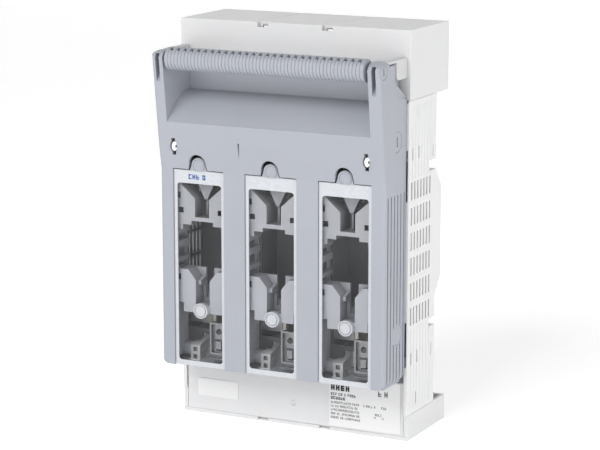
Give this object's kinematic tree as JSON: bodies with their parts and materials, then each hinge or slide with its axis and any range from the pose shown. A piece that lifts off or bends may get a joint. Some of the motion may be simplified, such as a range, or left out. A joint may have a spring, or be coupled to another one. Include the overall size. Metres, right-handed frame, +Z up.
{
  "type": "fused disconnect switch",
  "caption": "Three-pole fuse switch-disconnector with a hinged cover, a ribbed handle, sliding windows and terminal shrouds.",
  "frame": {"origin": "centre of the four mounting holes, on the mounting plate's surface", "axes": "+X to the right seen from the front, +Y into the mounting plate, +Z up towards the line terminals"},
  "size_m": [0.184, 0.1182, 0.298],
  "materials": {
    "base_plastic": "light grey moulded glass-filled plastic, fine texture",
    "cover_plastic": "blue-grey moulded plastic, fine texture, satin",
    "frame_plastic": "white moulded plastic, smooth",
    "clear_pane": "clear polycarbonate",
    "probe_plastic": "pale translucent plastic",
    "seal_white": "white moulded plastic",
    "carrier_plastic": "mid grey moulded plastic",
    "chamber_plastic": "dark grey thermoset, dull",
    "plated_copper": "silver-plated copper",
    "spring_steel": "bright spring steel",
    "zinc_steel": "zinc-plated steel",
    "label_film": "printed film"
  },
  "bodies": {
    "base": {"base_housing": "base_plastic", "side_panel_left": "base_plastic", "side_panel_right": "base_plastic", "pole_partition_left": "base_plastic", "pole_partition_right": "base_plastic", "top_terminal_shroud": "base_plastic", "bottom_terminal_shroud": "base_plastic", "catch_block_left": "base_plastic", "catch_block_right": "base_plastic", "seal_post_left": "seal_white", "seal_post_right": "seal_white", "arc_chamber_left": "chamber_plastic", "arc_chamber_centre": "chamber_plastic", "arc_chamber_right": "chamber_plastic", "arc_plates_left": "zinc_steel", "arc_plates_centre": "zinc_steel", "arc_plates_right": "zinc_steel", "line_contact_left": "plated_copper", "line_contact_centre": "plated_copper", "line_contact_right": "plated_copper", "load_contact_left": "plated_copper", "load_contact_centre": "plated_copper", "load_contact_right": "plated_copper", "line_jaw_springs": "spring_steel", "load_jaw_springs": "spring_steel", "terminal_bolts": "zinc_steel", "terminal_washers": "zinc_steel", "terminal_nuts": "zinc_steel", "hinge_lug_left": "base_plastic", "hinge_lug_centre": "base_plastic", "hinge_lug_right": "base_plastic", "front_labels": "label_film"},
    "cover": {"cover_shell": "cover_plastic", "handle_bar": "cover_plastic", "handle_pins": "zinc_steel", "side_caps_left": "cover_plastic", "side_caps_right": "cover_plastic", "upper_fuse_carrier_left": "carrier_plastic", "upper_fuse_carrier_centre": "carrier_plastic", "upper_fuse_carrier_right": "carrier_plastic", "lower_fuse_carrier_left": "carrier_plastic", "lower_fuse_carrier_centre": "carrier_plastic", "lower_fuse_carrier_right": "carrier_plastic", "carrier_screws": "zinc_steel", "hinge_pins": "zinc_steel", "retaining_clip_left": "spring_steel", "retaining_clip_centre": "spring_steel", "retaining_clip_right": "spring_steel"},
    "window_left": {"window_frame_left": "frame_plastic", "window_pane_left": "clear_pane", "probe_cup_left": "probe_plastic", "thumb_tab_left": "cover_plastic"},
    "window_centre": {"window_frame_centre": "frame_plastic", "window_pane_centre": "clear_pane", "probe_cup_centre": "probe_plastic", "thumb_tab_centre": "cover_plastic"},
    "window_right": {"window_frame_right": "frame_plastic", "window_pane_right": "clear_pane", "probe_cup_right": "probe_plastic", "thumb_tab_right": "cover_plastic"}
  },
  "joints": [
    {"name": "cover_hinge", "type": "hinge", "parent": "base", "child": "cover", "pos_m": [0, -0.084, -0.095], "axis": [1, 0, 0], "range_deg": [0, 90]},
    {"name": "window_slide_left", "type": "slide", "parent": "cover", "child": "window_left", "axis": [0, 0, 1], "range_m": [0, 0.002]},
    {"name": "window_slide_centre", "type": "slide", "parent": "cover", "child": "window_centre", "axis": [0, 0, 1], "range_m": [0, 0.002]},
    {"name": "window_slide_right", "type": "slide", "parent": "cover", "child": "window_right", "axis": [0, 0, 1], "range_m": [0, 0.002]}
  ]
}
